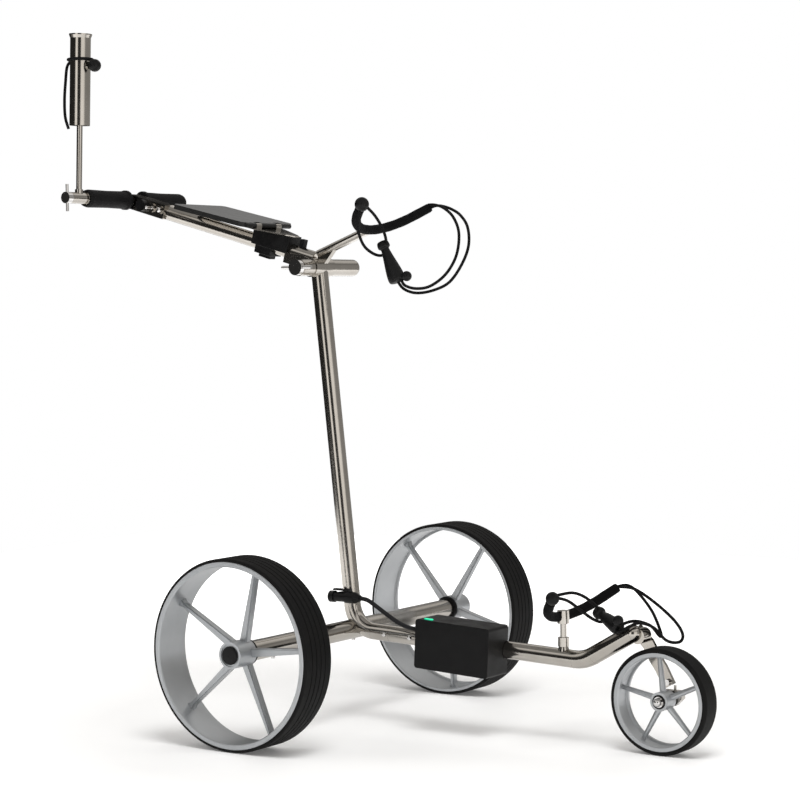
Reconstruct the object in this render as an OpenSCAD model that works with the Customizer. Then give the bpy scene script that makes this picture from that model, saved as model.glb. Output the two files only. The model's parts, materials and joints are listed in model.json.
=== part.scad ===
// Electric golf trolley: leaning upright on a powered cross axle, folding handle,
// two bag cradles with elastic straps, battery box and one front wheel on a single arm.
// +X is forward, +Y is the trolley's left, Z is up. The origin is on the ground, mid length.

/* [Wheels] */
// Diameter of the rear wheels over the tyres
rear_wheel_d = 300; // [280:1:310]
// Width of the rear wheels
rear_wheel_w = 68; // [60:1:72]
// Width of the trolley over the outer faces of the rear wheels
track_w = 665; // [655:1:690]
// Diameter of the front wheel over the tyre
front_wheel_d = 163; // [160:1:166]
// Width of the front wheel
front_wheel_w = 39; // [34:1:40]
// Spokes in each wheel
spoke_count = 5; // [3:1:7]

/* [Frame] */
// Diameter of the cross axle tube
axle_tube_d = 32; // [32:0.5:34]
// Diameter of the upright and the front tube
frame_tube_d = 28; // [27:0.5:29]
// Wall of the frame tubes
tube_wall = 1.5; // [1.2:0.1:2]
// Height of the handle hinge
hinge_z = 749; // [740:1:760]

/* [Handle] */
// Diameter of the handle tube
handle_d = 25; // [24:0.5:26]
// Rise of the handle above level, in degrees
handle_rise = 15.5; // [14:0.5:17]
// Length of the T-bar over its grips
t_bar_l = 258; // [240:2:280]
// Diameter of the grips
grip_d = 31; // [29:0.5:33]

/* [Bag cradles] */
// Diameter of the foam sleeves
foam_d = 16; // [14:0.5:18]
// Bend radius of the upper cradle
upper_r = 97; // [90:1:105]
// Bend radius of the lower cradle
lower_r = 76; // [70:1:82]

/* [Accessories] */
// Diameter of the umbrella tube
umbrella_d = 35; // [34:0.5:37]
// Length of the umbrella tube
umbrella_l = 155; // [120:1:155]
// Length of the scorecard lid
lid_l = 160; // [140:1:170]
// Width of the scorecard lid
lid_w = 139; // [120:1:150]
// Length of the battery box
battery_l = 138; // [120:1:142]
// Height of the battery box
battery_h = 79; // [74:1:90]

/* [Hidden] */
$fn = 64;

left = 1;
right = -1;
gap = 0.1;       // between welded or pressed pieces
run = 0.05;      // radial play of a turning fit
bead_l = 0.6;    // half the length of the bead at each end of a bend
bead_h = 0.1;    // height of that bead
axle_x = -89;    // the rear axle lies this far behind the origin

// Rear axle and wheels
axle_z = rear_wheel_d / 2;
wheel_in = track_w / 2 - rear_wheel_w;
tyre_t = 5;
rim_t = 5;
lip_t = 3;
hub_r = 21;
shaft_r = 5;
bush_in = wheel_in + 17;
bush_out = bush_in + 4;
hub_out = track_w / 2 - 6;
axle_bore_r = axle_tube_d / 2 - 2;
drive_r = axle_bore_r - 0.3;

// Frame lines, as [x, z] behind and in front of the rear axle
hinge = [-59, hinge_z];
foot_corner = [3.4, axle_z + 0.8];
front_fall = 2.5;
foot_end_x = 78;
tube_start_x = foot_end_x + 0.3;
front_corner = [440, foot_corner[1] - (440 - foot_corner[0]) * tan(front_fall)];
front_end = [524, front_corner[1] + 48.2];
column_bend_r = 45;
front_bend_r = 60;
frame_r = frame_tube_d / 2;
frame_id = frame_tube_d - 2 * tube_wall;
snap_x = 72;
snap_at = [snap_x, foot_corner[1] - (snap_x - foot_corner[0]) * tan(front_fall)];
sleeve_r = 15.5;
sleeve_half = 26;
bolt_r = 4;

// Front wheel and fork
front_hub = [576, front_wheel_d / 2];
fork_y = 22.5;
fork_t = 6;
fork_w = 20;
fork_line = [[517, 184], [526, 174], [538, 162], [550, 140], [560, 126], [574, 100]];
fork_cut_z = 95;
block_y = 17;
block_t = 12;
pivot_pin = [583, fork_y + fork_t / 2];
front_axle_r = 4;
bearing_r = 11;
bearing_w = 7;

// Handle, in its own frame: u runs up the handle from the hinge, v is above it
tube_v = 11.7;
handle_r = handle_d / 2;
handle_start = 9;
handle_end = 338;
half_cut_u = 48;
head_end = 422;
head_w = 30;
head_h = 25;
head_wall = 2;
bar_u = 422;
bar_v = 13.7;
bar_r = 11;
bar_x = hinge[0] - bar_u * cos(handle_rise) + bar_v * sin(handle_rise);
bar_z = hinge[1] + bar_u * sin(handle_rise) + bar_v * cos(handle_rise);
knob_at = [384.5, 13.5];
lever_at = [366, 14];
button_at = [347.5, 14.5];
pot_shaft_r = 3;

// Scorecard holder, in its own tilted frame: x = 0 is the lid's front edge, z = 0 its top
lid_front = [-160, 825];
lid_tilt = 13.5;
lid_t = 8.5;
lid_pin_x = -4.6;
lid_pin_z = -4.5;
lid_pin_r = 1.5;
plate_top = -9;
plate_t = 2;
knuckle_in = 20;
knuckle_out = 34;

// Umbrella holder, s runs up its rod from the T-bar's axis
rod_lean = 2.3;
rod_y = -t_bar_l / 2 - 13;
tube_s = 123;
umbrella_r = umbrella_d / 2;
umbrella_wall = 1.5;
spindle_r = 6;
clamp_r = 9.75;
clamp_in = t_bar_l / 2 + 0.4;
clamp_out = t_bar_l / 2 + 36;
ball_knob_s = tube_s + 101;

// Bag cradles
stem_foot = [-57, 772];
upper_at = [43.5, 0, 808.5];
upper_bend = 55;
upper_straight = 28;
upper_tilt = 34;
lower_at = [398.5, 0, 197.5];
lower_bend = 58;
lower_straight = 30;
lower_tilt = 40;
lower_swing = -8;
rod_r = 4;
post_x = 402.5;
post_r = 5;
post_pin_r = 4;
post_top = 187;
hub_top = 207;

// Battery
battery_at = [230, 141.7];
battery_tilt = 3.2;
battery_near = -57;
battery_far = 2;
battery_wall = 2.5;
groove_r = frame_r + 0.4;
cell_r = 8.8;
cell_l = 65;

// Elastic straps and the battery lead, as points [x, y, z] along each route
bungee_d = 4.8;
lead_d = 7.2;
elastic_d = 5;
lead_route = [
    [31, -22, 205], [45, -22, 203], [59, -22, 196], [73, -22, 188], [88, -23, 180],
    [106, -24, 171], [124, -26, 165.5], [142, -28, 163]
];
upper_short_route = [
    [102, -88, 841], [108, -77, 829], [112, -66, 814], [113, -55, 797], [109, -45, 781],
    [103, -38, 770], [95, -41, 765], [88, -52, 768], [81, -66, 779], [81, -80, 796], [86, -93, 815],
    [96, -99, 836]
];
upper_long_route = [
    [100, 97, 845], [109, 98, 848], [126, 92, 847], [150, 83, 841], [174, 73, 830], [196, 60, 810],
    [208, 44, 780], [206, 27, 750], [194, 8, 721], [174, -9, 708], [152, -24, 704],
    [136, -35, 710], [128, -41, 722], [131, -45, 731], [138, -48, 726], [144, -45, 716],
    [157, -32, 711], [174, -17, 715], [190, 4, 734], [196, 26, 764], [187, 48, 800],
    [166, 64, 827], [138, 79, 843], [116, 87, 849], [99, 93, 850]
];
lower_short_route = [
    [441, -83, 243], [454, -61, 245], [464, -43, 238], [470, -24, 225], [472, -10, 215],
    [475, 1, 207], [478, 1, 199], [476, -12, 196], [470, -27, 202], [463, -46, 215], [453, -70, 233],
    [443, -85, 239]
];
lower_long_route = [
    [459, 73, 240], [478, 71, 243], [498, 66, 234], [526, 60, 207], [544, 53, 178],
    [549, 42, 172], [541, 26, 190], [528, 2, 199], [517, -17, 196], [511, -24, 189],
    [518, -29, 186], [526, -22, 191], [536, -2, 197], [547, 24, 188], [559, 44, 166],
    [574, 58, 163], [578, 61, 175], [562, 64, 195], [526, 70, 219], [488, 76, 237], [460, 77, 239]
];
elastic_drop = [
    [-480, 1100], [-485, 1072], [-488, 1042], [-487, 1014], [-480, 994]
];

// Helpers ------------------------------------------------------------------

module on_axle() translate([axle_x, 0, 0]) children();

// From x forward and z up to the place of an axis that runs across the trolley
module across(at, y = 0) translate([at[0], y, at[1]]) rotate([-90, 0, 0]) children();

module rod_y(at, y0, y1, r) across(at, y0) cylinder(h = y1 - y0, r = r);

module on_handle() on_axle() translate([hinge[0], 0, hinge[1]]) rotate([0, handle_rise, 0]) children();

module on_lid() on_axle() translate([lid_front[0], 0, lid_front[1]]) rotate([0, lid_tilt, 0]) children();

module on_umbrella() on_axle() translate([bar_x, rod_y, bar_z]) rotate([0, rod_lean, 0]) children();

module wheel_place(side) {
    on_axle() translate([0, side * wheel_in, axle_z]) rotate([-90 * side, 0, 0]) children();
}

function angle_of(a, b) = atan2(b[1] - a[1], b[0] - a[0]);
function toward(a, b, d) = a + d * (b - a) / norm(b - a);
function turn(a, b, c) = angle_of(b, c) - angle_of(a, b);
function setback(a, b, c, r) = r * tan(turn(a, b, c) / 2);

module ring(od, id) {
    difference() {
        circle(d = od);
        if (id > 0) circle(d = id);
    }
}

module straight_pipe(a, b, od, id) {
    translate([a[0], 0, a[1]]) rotate([0, 90 - angle_of(a, b), 0])
        linear_extrude(norm(b - a)) ring(od, id);
}

// A pipe in the XZ plane from a past the corner b, rounded at radius r, to c
module bent_pipe(a, b, c, r, od, id) {
    back = setback(a, b, c, r);
    start = toward(b, a, back);
    heading = angle_of(a, b);
    centre = start + r * [-sin(heading), cos(heading)];
    finish = toward(b, c, back);
    straight_pipe(a, start, od, id);
    straight_pipe(finish, c, od, id);
    straight_pipe(toward(start, a, bead_l), toward(start, b, bead_l), od + 2 * bead_h, id - 2 * bead_h);
    straight_pipe(toward(finish, b, bead_l), toward(finish, c, bead_l), od + 2 * bead_h, id - 2 * bead_h);
    translate([centre[0], 0, centre[1]]) rotate([90, 0, 0]) rotate([0, 0, heading - 90])
        rotate_extrude(angle = turn(a, b, c)) translate([r, 0]) ring(od, id);
}

// A bar bent to an arc at the bottom, with a straight arm at each end, open towards +X
module cradle_bar(r, bend, straight, bar_r) {
    translate([r, 0, 0]) rotate([0, 0, 180 - bend])
        rotate_extrude(angle = 2 * bend) translate([r, 0]) circle(r = bar_r);
    for (side = [left, right])
        translate([r * (1 - cos(bend)), side * r * sin(bend), 0])
            rotate([0, 0, side * (90 - bend)]) rotate([0, 90, 0]) {
                cylinder(h = straight, r = bar_r);
                translate([0, 0, -bead_l]) cylinder(h = 2 * bead_l, r = bar_r + bead_h);
            }
}

module upper_plane() on_axle() translate(upper_at) rotate([0, -upper_tilt, 0]) children();

module lower_plane() {
    on_axle() translate(lower_at) rotate([0, 0, lower_swing]) rotate([0, -lower_tilt, 0]) children();
}

// Place at the end of a cradle's arm, with +X along the arm
module arm_end(r, bend, straight, side) {
    translate([r * (1 - cos(bend)), side * r * sin(bend), 0])
        rotate([0, 0, side * (90 - bend)]) translate([straight, 0, 0]) children();
}

function unit(v) = v / norm(v);
function heading_at(p, i) = unit(p[min(i + 1, len(p) - 1)] - p[max(i - 1, 0)]);
function square_to(n, t) = unit(n - (n * t) * t);
function normals(p) = [
    for (i = 0, n = square_to([0.3, 0.9, 0.4], heading_at(p, 0)); i < len(p);
        i = i + 1, n = square_to(n, heading_at(p, i))) n
];

// The point that lies w to the left of point i on a flat line, mitred at its corners
function beside(p, i, w) =
    let (
        before = unit(p[max(i, 1)] - p[max(i, 1) - 1]),
        after = unit(p[min(i, len(p) - 2) + 1] - p[min(i, len(p) - 2)]),
        middle = unit(before + after)
    )
    p[i] + w / (middle * before) * [-middle[1], middle[0]];

// A closed tube of eight sides along a route
module cord(route, d) {
    sides = 8;
    last = len(route) - 1;
    n = normals(route);
    points = [
        for (i = [0 : last], k = [0 : sides - 1])
            let (t = heading_at(route, i), a = 360 * k / sides)
            route[i] + d / 2 * (cos(a) * n[i] + sin(a) * cross(t, n[i]))
    ];
    faces = concat(
        [[for (k = [0 : sides - 1]) k]],
        [for (i = [0 : last - 1], k = [0 : sides - 1])
            let (next = (k + 1) % sides)
            [i * sides + k, (i + 1) * sides + k, (i + 1) * sides + next, i * sides + next]],
        [[for (k = [sides - 1 : -1 : 0]) last * sides + k]]
    );
    polyhedron(points = points, faces = faces, convexity = 6);
}

module rounded_rect(l, h, r) {
    square([l - 2 * r, h], center = true);
    square([l, h - 2 * r], center = true);
    for (x = [-1, 1], y = [-1, 1])
        translate([x * (l / 2 - r), y * (h / 2 - r)]) circle(r = r);
}

module flat_oval(w, h) {
    square([h, w - h], center = true);
    for (side = [left, right]) translate([0, side * (w - h) / 2]) circle(d = h);
}

// Frame --------------------------------------------------------------------

module axle_tube() {
    color("silver") on_axle() across([0, axle_z], -bush_in)
        linear_extrude(2 * bush_in) ring(axle_tube_d, 2 * axle_bore_r);
}

module column_tube() {
    foot_end = [foot_end_x, foot_corner[1] - (foot_end_x - foot_corner[0]) * tan(front_fall)];
    color("silver") on_axle() difference() {
        union() {
            bent_pipe(hinge, foot_corner, foot_end, column_bend_r, frame_tube_d, frame_id);
            rod_y(hinge, -sleeve_half, sleeve_half, sleeve_r);
        }
        rod_y(hinge, -sleeve_half - 1, sleeve_half + 1, bolt_r + run);
        rod_y([0, axle_z], -frame_tube_d, frame_tube_d, axle_tube_d / 2 + gap);
        rod_y(snap_at, -frame_tube_d, 0, 4.2);
    }
}

module axle_bushes() {
    flange_r = 20.5;
    spigot_l = 11;
    color("dimgray") on_axle() for (side = [left, right])
        translate([0, side * bush_in, axle_z]) rotate([-90 * side, 0, 0]) difference() {
            union() {
                translate([0, 0, gap]) cylinder(h = bush_out - bush_in - gap, r = flange_r);
                translate([0, 0, -spigot_l]) cylinder(h = spigot_l + gap, r = axle_bore_r - gap);
            }
            translate([0, 0, -spigot_l - 1]) cylinder(h = spigot_l + 7, r = shaft_r + run);
        }
}

module motors() {
    motor_l = 95;
    motor_in = 100;
    color("gray") on_axle() for (side = [left, right])
        translate([0, side * motor_in, axle_z]) rotate([-90 * side, 0, 0]) {
            cylinder(h = motor_l, r = drive_r);
            translate([0, 0, -8]) cylinder(h = 8, r = 8);
        }
}

module gearboxes() {
    gearbox_in = 195.3;
    gearbox_l = bush_in - 12 - gearbox_in;
    shaft_depth = 32;
    color("darkgray") on_axle() for (side = [left, right])
        translate([0, side * gearbox_in, axle_z]) rotate([-90 * side, 0, 0]) difference() {
            cylinder(h = gearbox_l, r = drive_r);
            translate([0, 0, gearbox_l - shaft_depth]) cylinder(h = shaft_depth + 1, r = shaft_r + run);
        }
}

module frame_screws() {
    stud_z = axle_z - axle_tube_d / 2;
    screw_x = 121.5;
    screw_z = foot_corner[1] - (screw_x - foot_corner[0]) * tan(front_fall);
    fork_bolt = [572, 106];
    color("silver") on_axle() {
        for (y = [-218, 0, 218]) translate([0, y, stud_z - 3]) cylinder(h = 3 - gap, r = 3.5);
        difference() {
            translate([screw_x, -frame_r + 1, screw_z]) sphere(r = 4.5);
            rod_y([screw_x, screw_z], -frame_r, frame_r, 6);
        }
        rod_y(fork_bolt, fork_y - 5, fork_y - gap, 4.8);
        rod_y(fork_bolt, fork_y - 1, fork_y + fork_t + 1, 2.9);
        rod_y(fork_bolt, fork_y + fork_t + gap, fork_y + fork_t + 4, 4.8);
    }
}

module front_tube() {
    start = [tube_start_x, foot_corner[1] - (tube_start_x - foot_corner[0]) * tan(front_fall)];
    spigot_l = 32;
    plug_l = 4;
    spigot_r = frame_id / 2 - 0.15;
    spigot_bore = spigot_r - 1.5;
    plug_r = frame_id / 2 + tube_wall / 2;
    color("silver") on_axle() difference() {
        union() {
            bent_pipe(start, front_corner, front_end, front_bend_r, frame_tube_d, frame_id);
            translate([start[0], 0, start[1]]) rotate([0, 90 + front_fall, 0]) rotate_extrude() polygon([
                [spigot_bore, -spigot_l], [spigot_r, -spigot_l], [spigot_r, 1], [plug_r, 1],
                [plug_r, plug_l], [spigot_bore, plug_l]
            ]);
        }
        rod_y(snap_at, -frame_tube_d, 0, 4.2);
    }
}

module snap_button() {
    color("silver") on_axle() {
        rod_y(snap_at, -14.5, -8, 4);
        translate([snap_at[0], -14.5, snap_at[1]]) intersection() {
            sphere(r = 4);
            translate([-5, -5, -5]) cube([10, 5, 10]);
        }
    }
}

module fork_arm() {
    color("silver") on_axle() difference() {
        union() {
            translate([0, fork_y + fork_t, 0]) rotate([90, 0, 0]) linear_extrude(fork_t) polygon(concat(
                [for (i = [0 : len(fork_line) - 1]) beside(fork_line, i, fork_w / 2)],
                [for (i = [len(fork_line) - 1 : -1 : 0]) beside(fork_line, i, -fork_w / 2)]
            ));
            rod_y([515, 175], 8, fork_y + 1, 7);
            translate([front_end[0], 0, front_end[1]]) sphere(r = frame_r);
            rod_y([front_end[0] + 8, front_end[1] - 4], 0, fork_y + 1, 12);
        }
        straight_pipe(front_corner, toward(front_end, front_corner, -gap), frame_tube_d + 2 * gap, 0);
        translate([500, 0, fork_cut_z - 60]) cube([150, 40, 60]);
        translate([pivot_pin[0], pivot_pin[1], fork_cut_z - 1]) cylinder(h = 9, r = 2 + run);
        rod_y([572, 106], fork_y - 1, fork_y + fork_t + 1, 3);
    }
}

// Power --------------------------------------------------------------------

plug_y = -22;
plug_z = 205;
latch_z = plug_z + 10.3;

module power_socket() {
    color("black") on_axle() difference() {
        union() {
            translate([-29, plug_y, plug_z]) rotate([0, 90, 0]) cylinder(h = 31, r = 8);
            translate([-29, plug_y, plug_z]) rotate([0, 90, 0]) cylinder(h = 9, r = 9.5);
            translate([-14, plug_y, plug_z - 8]) cube([14, 20, 16]);
        }
        straight_pipe(hinge, foot_corner, frame_tube_d + 2 * gap, 0);
        translate([-6, plug_y, plug_z]) rotate([0, 90, 0]) cylinder(h = 9, r = 5.2);
    }
}

module power_plug() {
    color("black") on_axle() difference() {
        union() {
            translate([2.2, plug_y, plug_z]) rotate([0, 90, 0]) cylinder(h = 18, r = 9.5);
            translate([20.2, plug_y, plug_z]) rotate([0, 90, 0]) cylinder(h = 10.8, r1 = 9.5, r2 = 5);
            translate([-5.5, plug_y, plug_z]) rotate([0, 90, 0]) cylinder(h = 9, r = 5);
            translate([4, plug_y - 4, plug_z + 5]) cube([8, 8, 9]);
        }
        translate([6, plug_y - 5, plug_z + 9.8]) cube([4, 10, 6]);
    }
}

module plug_latch() {
    rib_count = 5;
    color("black") on_axle() {
        translate([-22, plug_y - 3.8, latch_z + 0.5]) cube([25.7, 7.6, 2]);
        for (i = [0 : rib_count - 1])
            translate([-21 + 3 * i, plug_y - 3.8, latch_z + 2.4]) cube([1.6, 7.6, 1.2]);
    }
}

module battery_lead() color("black") on_axle() cord(lead_route, lead_d);

module battery_place() on_axle() translate([battery_at[0], 0, battery_at[1]]) rotate([0, battery_tilt, 0]) children();

module battery_case() {
    depth = battery_far - battery_near;
    corner_r = 5;
    color("black") difference() {
        union() {
            battery_place() translate([0, battery_far, 0]) rotate([90, 0, 0])
                linear_extrude(depth) rounded_rect(battery_l, battery_h, corner_r);
            on_axle() translate([164, -28, 163]) rotate([0, -90, 0]) cylinder(h = 21, r1 = 6.5, r2 = 4.8);
        }
        battery_place() translate([0, -groove_r - battery_wall, 0]) rotate([90, 0, 0])
            linear_extrude(depth - groove_r - battery_far - 2 * battery_wall)
                rounded_rect(battery_l - 2 * battery_wall, battery_h - 2 * battery_wall, corner_r - battery_wall);
        on_axle() straight_pipe(foot_corner, front_corner, 2 * groove_r, 0);
    }
}

module battery_cells() {
    rows = 4;
    color("steelblue") battery_place()
        for (end = [-1, 0], row = [0 : rows - 1], column = [0, 1])
            translate([end * (cell_l + 0.4) + 0.2, -26.3 - column * 18, (row - (rows - 1) / 2) * 18.1])
                rotate([0, 90, 0]) cylinder(h = cell_l, r = cell_r);
}

module battery_light() {
    color("limegreen") battery_place() translate([-48, -50, battery_h / 2 + gap])
        linear_extrude(1.6) rounded_rect(16, 6, 2.6);
}

// Bag cradles --------------------------------------------------------------

module stem(w, h, start, finish) {
    rise = angle_of(stem_foot, [upper_at[0], upper_at[2]]);
    reach = norm([upper_at[0], upper_at[2]] - stem_foot);
    on_axle() translate([stem_foot[0], 0, stem_foot[1]]) rotate([0, 90 - rise, 0])
        translate([0, 0, start]) linear_extrude(reach + finish - start) flat_oval(w, h);
}

module upper_cradle() {
    color("silver") difference() {
        union() {
            stem(20, 12, 0, 0);
            on_axle() translate([0, 5, 0]) rotate([90, 0, 0])
                linear_extrude(10) polygon([[-59, 755], [-45, 755], [-22, 782], [-57, 775]]);
            upper_plane() cradle_bar(upper_r, upper_bend, upper_straight, rod_r);
        }
        on_axle() rod_y(hinge, -30, 30, sleeve_r + gap);
    }
}

module foam_sleeve(r, bend, straight) {
    difference() {
        union() {
            cradle_bar(r, bend, straight - 9, foam_d / 2);
            arm_end(r, bend, straight - 9, left) rotate([0, 90, 0]) cylinder(h = 13, r = foam_d / 2);
        }
        cradle_bar(r, bend, straight + 1, rod_r + gap);
    }
}

module upper_foam() {
    color("black") difference() {
        upper_plane() foam_sleeve(upper_r, upper_bend, upper_straight);
        stem(20.6, 12.6, -1, 4.3);
    }
}

module end_ball(r, bend, straight, ball_r) {
    difference() {
        arm_end(r, bend, straight + 2, right) sphere(r = ball_r);
        arm_end(r, bend, straight - 8.7, right) rotate([0, -90, 0]) cylinder(h = 20, r = foam_d);
        cradle_bar(r, bend, straight + 1, rod_r + gap);
    }
}

module upper_ball() color("black") upper_plane() end_ball(upper_r, upper_bend, upper_straight, 11.5);

module strap_toggle(head, tail, knob, fat) {
    along = tail - head;
    pitch = acos(along[2] / norm(along));
    yaw = atan2(along[1], along[0]);
    l = norm(along);
    color("black") on_axle() {
        difference() {
            union() {
                translate(head) rotate([0, pitch, yaw]) {
                    cylinder(h = 11, r1 = 8, r2 = 10.5);
                    translate([0, 0, 10.9]) cylinder(h = l - 8, r1 = 6, r2 = fat);
                }
                translate(knob) sphere(r = 8.5);
            }
            translate(tail) rotate([0, pitch, yaw]) translate([0, 0, 6]) cylinder(h = 12, r = 20);
        }
    }
}

module upper_toggle() strap_toggle([100, -45, 787], [128, -45, 727], [147, -45, 731], 15);

module lower_toggle() strap_toggle([464, -4, 211], [510, -22, 192], [516, -30, 203], 12.5);

module upper_bungee_short() color("black") on_axle() cord(upper_short_route, bungee_d);

module upper_bungee_long() color("black") on_axle() cord(upper_long_route, bungee_d);

module lower_bungee_short() color("black") on_axle() cord(lower_short_route, bungee_d);

module lower_bungee_long() color("black") on_axle() cord(lower_long_route, bungee_d);

module lower_post() {
    tube_z = foot_corner[1] - (post_x - foot_corner[0]) * tan(front_fall);
    color("silver") on_axle() difference() {
        union() {
            translate([post_x, 0, tube_z + 8]) cylinder(h = 14, r1 = 10, r2 = 6.5);
            translate([post_x, 0, tube_z + 18]) cylinder(h = 14, r = 8.8);
            translate([post_x, 0, tube_z + 10]) cylinder(h = post_top - tube_z - 10, r = post_r);
            translate([post_x, 0, post_top - 1]) cylinder(h = 18, r = post_pin_r);
        }
        bent_pipe([tube_start_x, tube_z + 14.1], front_corner, front_end, front_bend_r,
            frame_tube_d + 2 * gap, 0);
    }
}

module lower_cradle() {
    color("silver") difference() {
        union() {
            lower_plane() cradle_bar(lower_r, lower_bend, lower_straight, rod_r);
            on_axle() translate([post_x, 0, post_top + 0.3]) cylinder(h = hub_top - post_top, r = 9.5);
        }
        on_axle() translate([post_x, 0, post_top - 1]) cylinder(h = 19, r = post_pin_r + run);
    }
}

module lower_foam() {
    color("black") difference() {
        lower_plane() foam_sleeve(lower_r, lower_bend, lower_straight);
        on_axle() translate([post_x, 0, post_top - 10]) cylinder(h = 50, r = 9.8);
    }
}

module lower_ball() color("black") lower_plane() end_ball(lower_r, lower_bend, lower_straight, 10.5);

// Wheels -------------------------------------------------------------------

module rear_rim(side, phase) {
    r = axle_z - tyre_t;
    w = rear_wheel_w;
    hub_in = bush_out + 0.5 - wheel_in;
    spoke_back = 21.8;
    color("lightgray") wheel_place(side) {
        rotate_extrude($fn = 180) polygon([
            [r - rim_t, 1], [r - rim_t + 1, 0], [r - 1, 0], [r, 1],
            [r, w - 1], [r - 1, w], [r - rim_t - lip_t + 1.5, w], [r - rim_t - lip_t, w - 1.5],
            [r - rim_t - lip_t, w - 6], [r - rim_t, w - 9]
        ]);
        difference() {
            union() {
                translate([0, 0, hub_in]) cylinder(h = hub_out - wheel_in - hub_in, r = hub_r);
                for (i = [0 : spoke_count - 1]) rotate([0, 0, phase + i * 360 / spoke_count])
                    spoke(hub_r - 3, r - rim_t + 1, spoke_back);
            }
            translate([0, 0, hub_in - 1]) cylinder(h = hub_out, r = shaft_r + gap);
            translate([0, 0, hub_out - wheel_in - 2]) cylinder(h = 3, r = hub_r - 3.5);
        }
    }
}

module spoke(inner, outer, back) {
    foot_w = 13.5;
    tip_w = 7;
    depth = 13.5;
    for (step = [[0, 2], [1.8, 0]])
        translate([0, 0, back + step[1]]) linear_extrude(depth - 2 * step[1]) polygon([
            [inner, step[0] - foot_w / 2], [outer - 8, step[0] - tip_w / 2], [outer, step[0] - tip_w],
            [outer, tip_w - step[0]], [outer - 8, tip_w / 2 - step[0]], [inner, foot_w / 2 - step[0]]
        ]);
}

module rear_tyre(side) {
    inner = axle_z - tyre_t + gap;
    w = rear_wheel_w - 1;
    grooves = 4;
    pitch = (w - 12) / (grooves + 1);
    color("black") wheel_place(side) rotate_extrude($fn = 180) polygon(concat(
        [[inner, 1], [inner + 2, 1], [axle_z - 0.8, 1.9], [axle_z, 4]],
        [for (i = [1 : grooves], step = [[0, -1.2], [1, -0.7], [1, 0.7], [0, 1.2]])
            [axle_z - step[0], 6.5 + i * pitch + step[1]]],
        [[axle_z, w - 3], [axle_z - 0.8, w - 0.9], [inner + 2, w], [inner, w]]
    ));
}

module drive_shaft(side) {
    inner = bush_in - 43.5;
    color("silver") on_axle() translate([0, side * inner, axle_z]) rotate([-90 * side, 0, 0])
        cylinder(h = hub_out - 3 - inner, r = shaft_r);
}

module hub_cap(side) {
    color("black") on_axle() translate([0, side * (hub_out - 1.9), axle_z]) rotate([-90 * side, 0, 0])
        rotate_extrude() polygon([[0, 0], [14.3, 0], [14.3, 3], [12.8, 4.5], [0, 5]]);
}

module front_place() on_axle() across(front_hub) children();

module front_rim() {
    r = front_wheel_d / 2 - 6.8;
    half = front_wheel_w / 2;
    hub_near = -15;
    hub_far = 14;
    phase = -24;
    color("lightgray") front_place() {
        rotate_extrude($fn = 120) polygon([
            [r - 6.7, 1.5 - half], [r - 5.2, -half], [r, -half], [r, half], [r - 5.2, half],
            [r - 6.7, half - 1.5], [r - 6.7, half - 6], [r - 4, half - 9], [r - 4, 9 - half],
            [r - 6.7, 6 - half]
        ]);
        difference() {
            union() {
                translate([0, 0, hub_near]) cylinder(h = hub_far - hub_near, r = 14.6);
                for (i = [0 : spoke_count - 1]) rotate([0, 0, phase + i * 360 / spoke_count])
                    translate([12, 0, 2]) rotate([0, 90, 0]) cylinder(h = r - 15, r1 = 5, r2 = 3.4);
            }
            translate([0, 0, hub_near - 1]) cylinder(h = 40, r = bearing_r - 2);
            for (z = [hub_near - 1, hub_far - bearing_w])
                translate([0, 0, z]) cylinder(h = bearing_w + 1, r = bearing_r + gap);
        }
    }
}

module front_tyre() {
    r = front_wheel_d / 2;
    half = front_wheel_w / 2;
    inner = r - 6.8 + gap;
    color("black") front_place() rotate_extrude($fn = 120) polygon(concat(
        [[inner, -half]],
        [for (a = [-90 : 15 : 0]) [r - 4.7 + 4.7 * cos(a), -half + 4.7 + 4.7 * sin(a)]],
        [for (a = [0 : 15 : 90]) [r - 4.7 + 4.7 * cos(a), half - 4.7 + 4.7 * sin(a)]],
        [[inner, half]]
    ));
}

module front_bearings() {
    color("dimgray") front_place() for (z = [-15, 14 - bearing_w]) translate([0, 0, z])
        linear_extrude(bearing_w) ring(2 * bearing_r, 2 * (front_axle_r + run));
}

module front_axle() {
    nut_r = 6.6;
    color("silver") on_axle() {
        rod_y(front_hub, -18, block_y + block_t + 2, front_axle_r);
        rod_y(front_hub, 14.4, block_y - gap, 7);
        rod_y(front_hub, block_y + block_t + gap, block_y + block_t + 5, 6.5);
        rod_y(front_hub, -16.6, -15.3, 8.2);
        rod_y(front_hub, -21, -16.5, nut_r);
        intersection() {
            translate([front_hub[0], -19.5, front_hub[1]]) sphere(r = nut_r);
            rod_y(front_hub, -30, -20.9, nut_r);
        }
    }
}

module axle_block() {
    low = front_hub[1] - 10;
    top = fork_cut_z - 0.4;
    color("silver") on_axle() {
        difference() {
            translate([567, block_y + block_t, 0]) rotate([90, 0, 0]) linear_extrude(block_t) polygon([
                [0, low + 3], [3, low], [20, low], [31, low + 11], [31, top], [0, top]
            ]);
            rod_y(front_hub, block_y - 1, block_y + block_t + 1, front_axle_r + gap);
        }
        translate([pivot_pin[0], pivot_pin[1], top - 1]) cylinder(h = 8, r = 2);
    }
}

// Handle -------------------------------------------------------------------

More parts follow.
